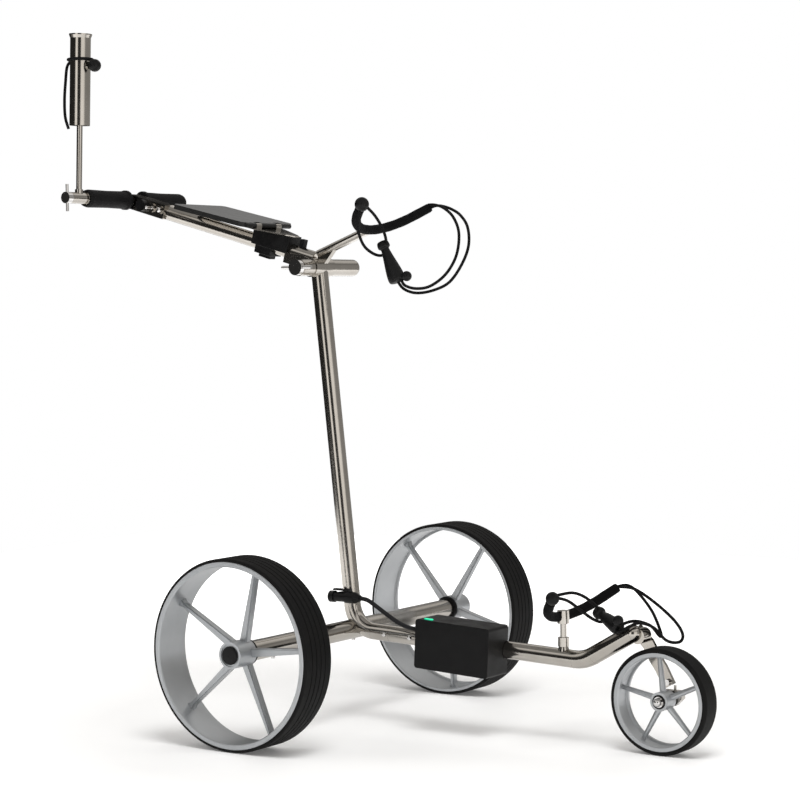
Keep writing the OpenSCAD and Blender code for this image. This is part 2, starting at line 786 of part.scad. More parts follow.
module handle_yoke() {
    barrel_r = frame_r;
    cheek_t = 3;
    cheek_y = sleeve_half + 0.4;
    far_end = 100;
    near_end = 57;
    bridge = [[42, -4.5], [54, 12]];
    color("silver") on_handle() difference() {
        union() {
            rod_y([0, 0], cheek_y, far_end - 6, barrel_r);
            rod_y([0, 0], far_end - 6.1, far_end, barrel_r - 4);
            translate([0, far_end - 6, 0]) rotate([90, 0, 0])
                rotate_extrude() translate([barrel_r - 6, 0]) circle(r = 6);
            rod_y([0, 0], -near_end, -cheek_y, barrel_r);
            for (y = [cheek_y, -cheek_y - cheek_t]) translate([0, y + cheek_t, 0]) rotate([90, 0, 0])
                linear_extrude(cheek_t) polygon([
                    [2, 13.8], [-20, 16], [-54, 12], [-54, -4.5], [-42, -4.5], [-8, -11]
                ]);
            translate([-bridge[1][0], -cheek_y - 1, bridge[0][1]])
                cube([bridge[1][0] - bridge[0][0], 2 * cheek_y + 2, bridge[1][1] - bridge[0][1]]);
        }
        rod_y([0, 0], -near_end - 1, far_end - 4, bolt_r + run);
        translate([-handle_end, 0, tube_v]) rotate([0, 90, 0]) cylinder(h = handle_end, r = handle_r + gap);
    }
}

module handle_tube() {
    color("silver") on_handle() difference() {
        translate([-handle_end + gap, 0, tube_v]) rotate([0, 90, 0])
            linear_extrude(handle_end - handle_start - gap) ring(handle_d, handle_d - 2 * tube_wall);
        rod_y([0, 0], -handle_d, handle_d, sleeve_r + 0.6);
        translate([-half_cut_u, -handle_d, tube_v - handle_d])
            cube([half_cut_u, 2 * handle_d, handle_d]);
    }
}

module pivot_knob() {
    cap_start = -57.3;
    cap_end = -67;
    pin_y = -62;
    color("dimgray") on_axle() {
        rod_y(hinge, cap_end + 1, 94, bolt_r);
        rod_y(hinge, cap_end, cap_start, 13);
        translate([hinge[0] - 30, pin_y, hinge[1]]) rotate([0, 90, 0]) cylinder(h = 60, r = 3);
    }
}

module head_box(margin) {
    translate([-head_end, -head_w / 2 + margin, margin])
        cube([head_end - handle_end - margin, head_w - 2 * margin, head_h - 2 * margin]);
}

module head_housing() {
    bezel_y = -head_w / 2;
    color("silver") on_handle() difference() {
        union() {
            head_box(0);
            rod_y([-lever_at[0], lever_at[1]], bezel_y - 3, bezel_y + 1, 7.7);
            rod_y([-button_at[0], button_at[1]], bezel_y - 2.5, bezel_y + 1, 7);
        }
        intersection() {
            head_box(head_wall);
            translate([-head_end + bar_r + 3, -head_w, -1]) cube([200, 2 * head_w, 60]);
        }
        rod_y([-bar_u, bar_v], -head_w, head_w, bar_r + gap);
        rod_y([-knob_at[0], knob_at[1]], bezel_y - 5, bezel_y + 5, pot_shaft_r + run);
        rod_y([-lever_at[0], lever_at[1]], bezel_y - 5, bezel_y + 5, 4.2);
        rod_y([-button_at[0], button_at[1]], bezel_y - 5, bezel_y + 5, 4.6);
    }
}

module control_board() {
    board_y = -2;
    color("green") on_handle() {
        translate([-406, board_y, 3]) cube([62, 1.6, 19]);
        translate([-knob_at[0] - 7, -11.5, knob_at[1] - 7]) cube([14, 9.6, 14]);
        translate([-lever_at[0] - 5, -9.5, lever_at[1] - 5]) cube([10, 7.6, 10]);
        translate([-button_at[0] - 4, -8.5, button_at[1] - 5]) cube([8, 6.6, 10]);
        translate([-400, -0.5, 5]) cube([20, 6, 14]);
    }
}

module speed_knob() {
    face = -head_w / 2;
    color("black") on_handle() {
        rod_y([-knob_at[0], knob_at[1]], face - 11, face - 0.4, 10.4);
        rod_y([-knob_at[0], knob_at[1]], face - 1, face + 3.3, pot_shaft_r);
    }
}

module toggle_lever() {
    face = -head_w / 2;
    color("silver") on_handle() {
        translate([-lever_at[0], face, lever_at[1]]) sphere(r = 3.8);
        rod_y([-lever_at[0], lever_at[1]], face - 15, face, 2.2);
        translate([-lever_at[0], face - 15, lever_at[1]]) sphere(r = 2.8);
    }
}

module push_button() {
    face = -head_w / 2;
    color("silver") on_handle() {
        rod_y([-button_at[0], button_at[1]], face - 4.2, face + 4.5, 4.5);
        translate([-button_at[0], face + 1.3, button_at[1]]) intersection() {
            sphere(r = 7);
            rod_y([0, 0], -7, -5.4, 4.4);
        }
    }
}

module t_bar() {
    half = t_bar_l / 2;
    color("silver") on_handle() {
        across([-bar_u, bar_v], -half + 3) linear_extrude(2 * half - 6) ring(2 * bar_r, 2 * bar_r - 3);
        rod_y([-bar_u, bar_v], -half, -half + 3.1, bar_r + 1);
        rod_y([-bar_u, bar_v], half - 3.1, half, bar_r + 1);
        difference() {
            rod_y([-bar_u, bar_v], -clamp_out + 2, -half + 1, spindle_r);
            rod_y([-bar_u, bar_v], -clamp_out - 5, -half - 6, 3 + run);
        }
    }
}

module grips() {
    inner = 19;
    outer = t_bar_l / 2 - 3.2;
    grip_r = grip_d / 2;
    color("black") on_handle() for (side = [left, right]) translate([-bar_u, 0, bar_v])
        rotate([-90 * side, 0, 0]) rotate_extrude() polygon([
            [bar_r + gap, inner], [grip_r, inner], [grip_r + 1.6, inner + 2], [grip_r + 1.6, inner + 7],
            [grip_r, inner + 10], [grip_r - 0.7, (inner + outer) / 2], [grip_r, outer - 6],
            [grip_r - 1.5, outer], [bar_r + gap, outer]
        ]);
}

// Scorecard holder ---------------------------------------------------------

module below_plate() {
    on_lid() translate([-250, -60, plate_top - plate_t - gap - 100]) cube([400, 120, 100]);
}

module holder_clamp() {
    u0 = 60;
    u1 = 137;
    color("black") intersection() {
        on_handle() difference() {
            union() {
                translate([-u1, -17, 8]) cube([u1 - u0, 34, 37]);
                translate([-128, -16, -5]) cube([34, 32, 14]);
                translate([-123, -8, -11]) cube([24, 16, 12]);
                translate([-46, -5, tube_v]) cube([9, 10, 32]);
            }
            translate([-200, 0, tube_v]) rotate([0, 90, 0]) cylinder(h = 200, r = handle_r + gap);
        }
        below_plate();
    }
}

module holder_plate() {
    nose_x = 60;
    color("silver") on_lid() difference() {
        union() {
            translate([0, 0, plate_top - plate_t]) linear_extrude(plate_t) polygon([
                [-lid_l + 12, -40], [-lid_l + 12, 40], [0, 42], [nose_x - 12, 16], [nose_x, 6],
                [nose_x, -6], [nose_x - 12, -16], [0, -42]
            ]);
            for (y = [knuckle_in, -knuckle_out]) {
                rod_y([lid_pin_x, lid_pin_z], y, y + knuckle_out - knuckle_in, 3.8);
                translate([lid_pin_x - 3.8, y, plate_top - 1]) cube([7.6, knuckle_out - knuckle_in, 5.4]);
            }
        }
        rod_y([lid_pin_x, lid_pin_z], -knuckle_out - 1, knuckle_out + 1, lid_pin_r + run);
    }
}

module card_lid() {
    edge_r = 4.1;
    corner_r = 9;
    color("dimgray") on_lid() {
        difference() {
            union() {
                translate([lid_pin_x - (lid_l + lid_pin_x) / 2, 0, -lid_t + 0.4]) linear_extrude(lid_t - 0.4)
                    rounded_rect(lid_l + lid_pin_x, lid_w, corner_r);
                rod_y([lid_pin_x, lid_pin_z], -lid_w / 2 + corner_r, lid_w / 2 - corner_r, edge_r);
            }
            for (y = [knuckle_in - 0.4, -knuckle_out - 0.4])
                translate([lid_pin_x - 6.5, y, -lid_t - 1]) cube([14, knuckle_out - knuckle_in + 0.8, lid_t + 2]);
            translate([lid_pin_x - 6, -60, -lid_t - 1]) cube([12, 26.4 - 0.8, 1]);
        }
        rod_y([lid_pin_x, lid_pin_z], -knuckle_out - 1, knuckle_out + 1, lid_pin_r);
    }
}

// Umbrella holder ----------------------------------------------------------

module umbrella_clamp() {
    color("silver") difference() {
        union() {
            on_axle() rod_y([bar_x, bar_z], -clamp_out, -clamp_in, clamp_r);
            on_umbrella() cylinder(h = 15, r = 7);
            on_umbrella() cylinder(h = tube_s, r = 5);
        }
        on_axle() rod_y([bar_x, bar_z], -clamp_out - 1, -clamp_in + 1, spindle_r + run);
    }
}

module umbrella_pin() {
    cap_end = -t_bar_l / 2 - 47;
    color("dimgray") on_axle() {
        rod_y([bar_x, bar_z], cap_end, -clamp_out - 0.4, clamp_r);
        rod_y([bar_x, bar_z], -clamp_out - 1, -t_bar_l / 2 - 8, 3);
        translate([bar_x, cap_end + 5, bar_z - 23]) cylinder(h = 46, r = 2.5);
    }
}

module umbrella_tube() {
    floor_t = 5;
    color("silver") on_umbrella() translate([0, 0, tube_s + gap]) difference() {
        union() {
            cylinder(h = umbrella_l, r = umbrella_r);
            translate([0, 0, umbrella_l - 7]) cylinder(h = 5, r1 = umbrella_r, r2 = umbrella_r + 2);
            translate([0, 0, umbrella_l - 2.1]) cylinder(h = 2.1, r = umbrella_r + 2);
            translate([umbrella_r - 2, 0, ball_knob_s - tube_s]) rotate([0, 90, 0]) cylinder(h = 6, r = 6.5);
        }
        translate([0, 0, floor_t]) cylinder(h = umbrella_l, r = umbrella_r - umbrella_wall);
        translate([0, 0, ball_knob_s - tube_s]) rotate([0, 90, 0]) cylinder(h = 40, r = 3 + run);
    }
}

module umbrella_knob() {
    color("black") on_umbrella() translate([0, 0, ball_knob_s + gap]) {
        translate([umbrella_r + 15.3, 0, 0]) sphere(r = 10.8);
        translate([umbrella_r - 1, 0, 0]) rotate([0, 90, 0]) cylinder(h = 12, r = 3);
    }
}

module umbrella_elastic() {
    band_z = 1109.5;
    band_r = umbrella_r + elastic_d / 2 + 0.7;
    band_x = bar_x + (band_z - bar_z) * tan(rod_lean);
    band = [for (a = [195 : 24 : 531]) [band_x + band_r * cos(a), rod_y + band_r * sin(a), band_z]];
    drop = [for (p = elastic_drop) [p[0], rod_y - 3, p[1]]];
    color("black") on_axle() cord(concat(band, drop), elastic_d);
}

// Assembly -----------------------------------------------------------------

axle_tube();
column_tube();
upper_cradle();
upper_foam();
upper_ball();
upper_bungee_short();
upper_bungee_long();
upper_toggle();
motors();
gearboxes();
axle_bushes();
frame_screws();
power_socket();
power_plug();
plug_latch();
battery_lead();
battery_case();
battery_cells();
battery_light();
front_tube();
snap_button();
lower_post();
lower_cradle();
lower_foam();
lower_ball();
lower_bungee_short();
lower_bungee_long();
lower_toggle();
fork_arm();
axle_block();
front_axle();
front_rim();
front_tyre();
front_bearings();
rear_rim(left, -129);  // rear_rim_left
rear_rim(right, 77.5);  // rear_rim_right
rear_tyre(left);  // rear_tyre_left
rear_tyre(right);  // rear_tyre_right
drive_shaft(left);  // drive_shaft_left
drive_shaft(right);  // drive_shaft_right
hub_cap(left);  // hub_cap_left
hub_cap(right);  // hub_cap_right
handle_yoke();
handle_tube();
head_housing();
control_board();
speed_knob();
toggle_lever();
push_button();
t_bar();
grips();
pivot_knob();
holder_clamp();
holder_plate();
card_lid();
umbrella_clamp();
umbrella_pin();
umbrella_tube();
umbrella_knob();
umbrella_elastic();
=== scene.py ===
# Looks of the electric golf trolley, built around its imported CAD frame. Lengths are in metres.
import json
import math

import bmesh
import bpy
from mathutils import Matrix, Vector

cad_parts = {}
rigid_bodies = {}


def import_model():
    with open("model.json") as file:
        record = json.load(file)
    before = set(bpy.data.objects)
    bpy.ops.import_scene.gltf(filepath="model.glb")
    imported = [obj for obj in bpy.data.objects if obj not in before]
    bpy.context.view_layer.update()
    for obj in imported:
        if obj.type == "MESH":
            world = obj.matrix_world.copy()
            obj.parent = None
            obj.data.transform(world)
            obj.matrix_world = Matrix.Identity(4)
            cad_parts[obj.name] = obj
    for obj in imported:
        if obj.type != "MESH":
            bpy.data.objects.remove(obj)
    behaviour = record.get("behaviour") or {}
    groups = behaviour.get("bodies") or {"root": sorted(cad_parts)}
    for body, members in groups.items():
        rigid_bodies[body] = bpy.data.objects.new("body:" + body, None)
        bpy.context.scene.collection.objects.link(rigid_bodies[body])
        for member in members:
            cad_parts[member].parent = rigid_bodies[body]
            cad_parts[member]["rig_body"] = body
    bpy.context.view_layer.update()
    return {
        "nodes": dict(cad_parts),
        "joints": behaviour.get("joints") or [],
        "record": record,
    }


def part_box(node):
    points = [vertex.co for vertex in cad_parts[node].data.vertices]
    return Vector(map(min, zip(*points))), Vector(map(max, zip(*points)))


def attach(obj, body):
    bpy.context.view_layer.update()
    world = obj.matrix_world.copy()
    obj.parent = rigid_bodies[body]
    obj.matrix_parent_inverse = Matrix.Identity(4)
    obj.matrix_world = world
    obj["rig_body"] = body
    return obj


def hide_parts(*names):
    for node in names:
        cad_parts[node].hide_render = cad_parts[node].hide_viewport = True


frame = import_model()
nodes = frame["nodes"]
MM = 0.001

# The trolley's own dimensions: the axle from the frame, the rest as in part.scad --

rear_low, rear_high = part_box("rear_tyre_right")
REAR_AXLE = Vector(((rear_low.x + rear_high.x) / 2, 0, (rear_low.z + rear_high.z) / 2))
LID_TILT = math.radians(13.5)
UMBRELLA_LEAN = math.radians(2.3)
UMBRELLA_D = 35 * MM
UMBRELLA_Y = -142 * MM


def joint_place(name):
    for joint in frame["joints"]:
        if joint["name"] == name:
            return Vector(joint["pos_m"])
    raise ValueError(name)


def on_axle(x, y, z):
    """A point measured in millimetres from the ground under the rear axle."""
    return Vector((REAR_AXLE.x + x * MM, y * MM, z * MM))


# Camera ------------------------------------------------------------------------

SENSOR_MM = 36.0
LENS_MM = 100.24
CAMERA_PLACE = on_axle(2145.5, -2984.4, 687.3)
CAMERA_YAW = math.radians(34.425)
CAMERA_PITCH = math.radians(-2.476)
CAMERA_ROLL = math.radians(-0.779)


def make_camera():
    data = bpy.data.cameras.new("camera")
    data.sensor_width = SENSOR_MM
    data.lens = LENS_MM
    data.clip_end = 100
    camera = bpy.data.objects.new("camera", data)
    bpy.context.scene.collection.objects.link(camera)
    ahead = Vector((
        -math.sin(CAMERA_YAW) * math.cos(CAMERA_PITCH),
        math.cos(CAMERA_YAW) * math.cos(CAMERA_PITCH),
        math.sin(CAMERA_PITCH),
    ))
    right = Vector((math.cos(CAMERA_YAW), math.sin(CAMERA_YAW), 0))
    up = right.cross(ahead)
    rolled_right = math.cos(CAMERA_ROLL) * right + math.sin(CAMERA_ROLL) * up
    rolled_up = -math.sin(CAMERA_ROLL) * right + math.cos(CAMERA_ROLL) * up
    turn = Matrix((rolled_right, rolled_up, -ahead)).transposed()
    camera.matrix_world = Matrix.Translation(CAMERA_PLACE) @ turn.to_4x4()
    bpy.context.scene.camera = camera


make_camera()

# Node tree helpers ---------------------------------------------------------------


class Tree:
    """A material's node tree with one Principled shader."""

    def __init__(self, name, **fixed):
        self.material = bpy.data.materials.new(name)
        self.material.use_nodes = True
        self.tree = self.material.node_tree
        self.shader = next(n for n in self.tree.nodes if n.type == "BSDF_PRINCIPLED")
        for socket, value in fixed.items():
            self.shader.inputs[socket.replace("_", " ")].default_value = value

    def node(self, kind, **settings):
        made = self.tree.nodes.new(kind)
        for key, value in settings.items():
            setattr(made, key, value)
        return made

    def link(self, a, b):
        self.tree.links.new(a, b)

    def place(self, scale=(1, 1, 1), turn=(0, 0, 0), output="Object"):
        coordinates = self.node("ShaderNodeTexCoord")
        mapping = self.node("ShaderNodeMapping")
        mapping.inputs["Scale"].default_value = scale
        mapping.inputs["Rotation"].default_value = turn
        self.link(coordinates.outputs[output], mapping.inputs["Vector"])
        return mapping.outputs["Vector"]

    def noise(self, scale, detail=4.0, where=None, rough=0.5):
        made = self.node("ShaderNodeTexNoise")
        made.inputs["Scale"].default_value = scale
        made.inputs["Detail"].default_value = detail
        made.inputs["Roughness"].default_value = rough
        self.link(where if where else self.place(), made.inputs["Vector"])
        return made.outputs["Fac"]

    def cells(self, scale, where=None, feature="F1"):
        made = self.node("ShaderNodeTexVoronoi", feature=feature)
        made.inputs["Scale"].default_value = scale
        self.link(where if where else self.place(), made.inputs["Vector"])
        return made.outputs["Distance"]

    def wave(self, scale, where=None, distortion=0.0, direction="X"):
        made = self.node("ShaderNodeTexWave", bands_direction=direction)
        made.inputs["Scale"].default_value = scale
        made.inputs["Distortion"].default_value = distortion
        self.link(where if where else self.place(), made.inputs["Vector"])
        return made.outputs["Fac"]

    def spread(self, value, low, high, to_low, to_high):
        made = self.node("ShaderNodeMapRange")
        sockets = ("From Min", "From Max", "To Min", "To Max")
        for socket, number in zip(sockets, (low, high, to_low, to_high)):
            made.inputs[socket].default_value = number
        self.link(value, made.inputs["Value"])
        return made.outputs["Result"]

    def colours(self, value, stops):
        made = self.node("ShaderNodeValToRGB")
        ramp = made.color_ramp
        while len(ramp.elements) < len(stops):
            ramp.elements.new(0.5)
        for element, (position, colour) in zip(ramp.elements, stops):
            element.position = position
            element.color = (*colour, 1)
        self.link(value, made.inputs["Fac"])
        return made.outputs["Color"]

    def combine(self, a, b, operation="ADD"):
        made = self.node("ShaderNodeMath", operation=operation)
        for socket, value in zip(made.inputs, (a, b)):
            if isinstance(value, (int, float)):
                socket.default_value = value
            else:
                self.link(value, socket)
        return made.outputs[0]

    def bump(self, height, strength, distance):
        made = self.node("ShaderNodeBump")
        made.inputs["Strength"].default_value = strength
        made.inputs["Distance"].default_value = distance
        self.link(height, made.inputs["Height"])
        self.link(made.outputs["Normal"], self.shader.inputs["Normal"])

    def colour(self, value):
        self.link(value, self.shader.inputs["Base Color"])

    def roughness(self, value):
        self.link(value, self.shader.inputs["Roughness"])


# Materials -----------------------------------------------------------------------


def polished_tube():
    t = Tree("polished_steel", Metallic=1.0, IOR=2.5)
    smear = t.noise(14, 3)
    lines = t.noise(900, 2, t.place(scale=(1, 0.05, 1)))
    t.colour(t.colours(smear, [(0.3, (0.40, 0.375, 0.34)), (0.7, (0.48, 0.455, 0.42))]))
    t.roughness(t.spread(t.combine(smear, t.combine(lines, 0.3, "MULTIPLY")), 0.3, 1.0, 0.10, 0.2))
    t.bump(lines, 0.04, 0.0002)
    return t.material


def bright_chrome():
    t = Tree("chrome", Metallic=1.0, IOR=2.5)
    smear = t.noise(60, 3)
    t.colour(t.colours(smear, [(0.3, (0.62, 0.61, 0.6)), (0.7, (0.74, 0.73, 0.72))]))
    t.roughness(t.spread(smear, 0.3, 0.7, 0.05, 0.13))
    t.bump(t.noise(700, 2), 0.02, 0.0002)
    return t.material


def satin_alloy():
    t = Tree("satin_alloy", Metallic=0.75)
    grain = t.noise(1400, 2)
    patch = t.noise(18, 3)
    t.colour(t.colours(patch, [(0.3, (0.40, 0.415, 0.43)), (0.7, (0.46, 0.475, 0.49))]))
    t.roughness(t.spread(t.combine(grain, patch), 0.6, 1.4, 0.30, 0.44))
    t.bump(grain, 0.10, 0.0002)
    return t.material


def tyre_rubber():
    t = Tree("tyre_rubber", Specular_IOR_Level=0.16)
    grain = t.noise(900, 4)
    dust = t.noise(30, 5, rough=0.65)
    t.colour(t.colours(dust, [(0.35, (0.0025, 0.0025, 0.0028)), (0.75, (0.007, 0.0067, 0.0064))]))
    t.roughness(t.spread(dust, 0.3, 0.8, 0.6, 0.8))
    t.bump(grain, 0.3, 0.0004)
    return t.material


def closed_foam():
    t = Tree("closed_foam", Specular_IOR_Level=0.12)
    cells = t.cells(900)
    lumps = t.noise(120, 3)
    t.colour(t.colours(lumps, [(0.3, (0.002, 0.002, 0.0023)), (0.7, (0.005, 0.005, 0.0053))]))
    t.roughness(t.spread(lumps, 0.3, 0.7, 0.78, 0.92))
    t.bump(t.combine(cells, lumps), 0.45, 0.0005)
    return t.material


def moulded_plastic(name, dark, light, rough=(0.38, 0.52)):
    t = Tree(name, Specular_IOR_Level=0.22)
    grain = t.cells(1300)
    patch = t.noise(40, 4)
    t.colour(t.colours(patch, [(0.3, dark), (0.7, light)]))
    t.roughness(t.spread(patch, 0.3, 0.7, *rough))
    t.bump(t.combine(grain, t.noise(2200, 2)), 0.12, 0.0003)
    return t.material


def braided_sheath():
    """A woven sheath: two crossed sets of yarns, laid along the cord by its UV map."""
    t = Tree("braided_sheath", Specular_IOR_Level=0.15)
    one = t.wave(1.0, t.place(turn=(0, 0, math.radians(45)), output="UV"))
    other = t.wave(1.0, t.place(turn=(0, 0, math.radians(-45)), output="UV"))
    weave = t.combine(one, other, "MAXIMUM")
    t.colour(t.colours(weave, [(0.2, (0.002, 0.002, 0.0023)), (0.9, (0.0048, 0.0048, 0.0052))]))
    t.roughness(t.spread(weave, 0, 1, 0.9, 0.65))
    t.bump(weave, 0.12, 0.0001)
    return t.material


def soft_grip():
    t = Tree("soft_grip", Specular_IOR_Level=0.15)
    dots = t.cells(420)
    worn = t.noise(50, 4)
    t.colour(t.colours(worn, [(0.3, (0.002, 0.002, 0.0023)), (0.75, (0.006, 0.006, 0.0063))]))
    t.roughness(t.spread(worn, 0.3, 0.8, 0.55, 0.75))
    t.bump(dots, 0.35, 0.0005)
    return t.material


def lid_finish():
    """Grey on the flat top and black on the rim, told apart by the way the surface faces."""
    t = Tree("lid_finish", Specular_IOR_Level=0.25)
    coordinates = t.node("ShaderNodeTexCoord")
    upward = t.node("ShaderNodeVectorMath", operation="DOT_PRODUCT")
    upward.inputs[1].default_value = (math.sin(LID_TILT), 0, math.cos(LID_TILT))
    t.link(coordinates.outputs["Normal"], upward.inputs[0])
    top = t.spread(upward.outputs["Value"], 0.9, 0.97, 0, 1)
    patch = t.spread(t.noise(35, 4), 0.3, 0.7, -0.012, 0.012)
    shade = t.combine(top, patch)
    t.colour(t.colours(shade, [(0.05, (0.012, 0.012, 0.012)), (0.95, (0.125, 0.125, 0.125))]))
    t.roughness(t.spread(t.noise(60, 3), 0.3, 0.7, 0.42, 0.55))
    t.bump(t.noise(1500, 3), 0.15, 0.0003)
    return t.material


def lit_lens():
    t = Tree("lit_lens", Emission_Strength=1.0)
    glow = t.noise(90, 2)
    shade = t.colours(glow, [(0.3, (0.0, 0.42, 0.20)), (0.7, (0.02, 0.62, 0.33))])
    t.colour(shade)
    t.link(shade, t.shader.inputs["Emission Color"])
    t.roughness(t.spread(glow, 0.3, 0.7, 0.2, 0.3))
    return t.material


def wrapped_cell():
    t = Tree("wrapped_cell")
    patch = t.noise(50, 3)
    t.colour(t.colours(patch, [(0.3, (0.03, 0.12, 0.28)), (0.7, (0.05, 0.2, 0.4))]))
    t.roughness(t.spread(patch, 0.3, 0.7, 0.25, 0.4))
    return t.material


def lacquered_board():
    t = Tree("lacquered_board")
    traces = t.wave(240, distortion=4.0)
    t.colour(t.colours(traces, [(0.45, (0.01, 0.10, 0.03)), (0.55, (0.03, 0.2, 0.06))]))
    t.roughness(t.spread(traces, 0, 1, 0.3, 0.4))
    return t.material


def machined_steel():
    t = Tree("machined_steel", Metallic=1.0)
    rings = t.wave(500, distortion=1.0, direction="Y")
    t.colour(t.colours(rings, [(0.3, (0.3, 0.3, 0.31)), (0.7, (0.42, 0.42, 0.43))]))
    t.roughness(t.spread(rings, 0, 1, 0.28, 0.42))
    return t.material


FINISH = {
    "polished_steel": polished_tube(),
    "chrome": bright_chrome(),
    "satin_alloy": satin_alloy(),
    "tyre": tyre_rubber(),
    "foam": closed_foam(),
    "black_plastic": moulded_plastic("black_plastic", (0.002, 0.002, 0.0023), (0.004, 0.004, 0.0043)),
    "elastic": braided_sheath(),
    "grip_rubber": soft_grip(),
    "lid_grey": lid_finish(),
    "light_green": lit_lens(),
    "cell_wrap": wrapped_cell(),
    "circuit_board": lacquered_board(),
    "machine_steel": machined_steel(),
}
LEAD_JACKET = moulded_plastic("lead_jacket", (0.009, 0.009, 0.010), (0.014, 0.014, 0.015), (0.45, 0.6))
# The front bearings' slot is machine_steel, but what shows of them is their rubber seals
SEAL_RUBBER = moulded_plastic("seal_rubber", (0.003, 0.003, 0.003), (0.006, 0.006, 0.006), (0.5, 0.65))
SLOT_OF = {row["node"]: row["material_slot"] for row in frame["record"]["subparts"]}


def paint_nodes():
    for name, node in nodes.items():
        node.data.materials.clear()
        node.data.materials.append(FINISH[SLOT_OF[name]])
    nodes["front_bearings"].data.materials[0] = SEAL_RUBBER


paint_nodes()

# Mesh helpers ---------------------------------------------------------------------


def new_mesh(name, build, smooth=True):
    mesh = bpy.data.meshes.new(name)
    shape = bmesh.new()
    build(shape)
    shape.normal_update()
    shape.to_mesh(mesh)
    shape.free()
    if smooth:
        mesh.polygons.foreach_set("use_smooth", [True] * len(mesh.polygons))
    made = bpy.data.objects.new(name, mesh)
    bpy.context.scene.collection.objects.link(made)
    return made


def apply_modifiers(piece):
    bpy.context.view_layer.update()
    held = bpy.context.evaluated_depsgraph_get()
    mesh = bpy.data.meshes.new_from_object(piece.evaluated_get(held))
    piece.modifiers.clear()
    piece.data = mesh


def dress(piece, body, slot, material=None, stands_for=()):
    """Gives a new piece its finish and the body that it moves with, and hides the nodes that it stands
    for.
    """
    piece.data.materials.clear()
    piece.data.materials.append(material or FINISH[slot])
    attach(piece, body)
    if stands_for:
        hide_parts(*stands_for)
    return piece


def smooth_route(points, steps):
    """A Catmull-Rom curve through the points, with steps pieces between each two."""
    route = []
    last = len(points) - 1
    for i in range(last):
        p0 = points[max(i - 1, 0)]
        p1, p2 = points[i], points[i + 1]
        p3 = points[min(i + 2, last)]
        for k in range(steps):
            u = k / steps
            route.append(0.5 * (
                2 * p1 + (p2 - p0) * u + (2 * p0 - 5 * p1 + 4 * p2 - p3) * u * u
                + (3 * p1 - p0 - 3 * p2 + p3) * u ** 3
            ))
    route.append(points[-1].copy())
    return route


def sweep(name, route, radius, sides=16, ends=0.5):
    """A tube along a route. radius is a number, or one for each point. Its UV map runs along it."""
    radii = radius if isinstance(radius, (list, tuple)) else [radius] * len(route)

    def build(shape):
        uv = shape.loops.layers.uv.new("UVMap")
        normal = Vector((0.3, 0.9, 0.4))
        rings, along = [], [0.0]
        for i, point in enumerate(route):
            heading = (route[min(i + 1, len(route) - 1)] - route[max(i - 1, 0)]).normalized()
            normal = (normal - normal.dot(heading) * heading).normalized()
            side = heading.cross(normal)
            rings.append([
                shape.verts.new(point + radii[i] * (
                    math.cos(math.tau * k / sides) * normal + math.sin(math.tau * k / sides) * side))
                for k in range(sides)
            ])
            if i:
                along.append(along[-1] + (point - route[i - 1]).length)
        yarns_round = 12
        per_metre = yarns_round / (math.tau * radii[len(radii) // 2])
        for i in range(len(rings) - 1):
            for k in range(sides):
                n = (k + 1) % sides
                face = shape.faces.new((rings[i][k], rings[i][n], rings[i + 1][n], rings[i + 1][k]))
                places = ((k, i), (k + 1, i), (k + 1, i + 1), (k, i + 1))
                for loop, (column, row) in zip(face.loops, places):
                    loop[uv].uv = (yarns_round * column / sides, along[row] * per_metre)
        shape.faces.new(list(reversed(rings[0])))
        shape.faces.new(rings[-1])
        bmesh.ops.recalc_face_normals(shape, faces=shape.faces)

    return new_mesh(name, build)


# Elastic straps and the battery lead -----------------------------------------------

BUNGEE_D = 4.8 * MM
UMBRELLA_STRAP_D = 5 * MM
LEAD_D = 7.2 * MM
CORD_STEPS = 6


def routed(points):
    return [on_axle(*p) for p in points]


UPPER_SHORT = [
    (102, -88, 841), (108, -77, 829), (112, -66, 814), (113, -55, 797), (109, -45, 781),
    (103, -38, 770), (95, -41, 765), (88, -52, 768), (81, -66, 779), (81, -80, 796), (86, -93, 815),
    (96, -99, 836),
]
UPPER_LONG = [
    (100, 97, 845), (109, 98, 848), (126, 92, 847), (150, 83, 841), (174, 73, 830), (196, 60, 810),
    (208, 44, 780), (206, 27, 750), (194, 8, 721), (174, -9, 708), (152, -24, 704),
    (136, -35, 710), (128, -41, 722), (131, -45, 731), (138, -48, 726), (144, -45, 716),
    (157, -32, 711), (174, -17, 715), (190, 4, 734), (196, 26, 764), (187, 48, 800),
    (166, 64, 827), (138, 79, 843), (116, 87, 849), (99, 93, 850),
]
LOWER_SHORT = [
    (441, -83, 243), (454, -61, 245), (464, -43, 238), (470, -24, 225), (472, -10, 215),
    (475, 1, 207), (478, 1, 199), (476, -12, 196), (470, -27, 202), (463, -46, 215), (453, -70, 233),
    (443, -85, 239),
]
LOWER_LONG = [
    (459, 73, 240), (478, 71, 243), (498, 66, 234), (526, 60, 207), (544, 53, 178),
    (549, 42, 172), (541, 26, 190), (528, 2, 199), (517, -17, 196), (511, -24, 189),
    (518, -29, 186), (526, -22, 191), (536, -2, 197), (547, 24, 188), (559, 44, 166),
    (574, 58, 163), (578, 61, 175), (562, 64, 195), (526, 70, 219), (488, 76, 237), (460, 77, 239),
]
LEAD = [
    (31, -22, 205), (45, -22, 203), (59, -22, 196), (73, -22, 188), (88, -23, 180),
    (106, -24, 171), (124, -26, 165.5), (142, -28, 163),
]


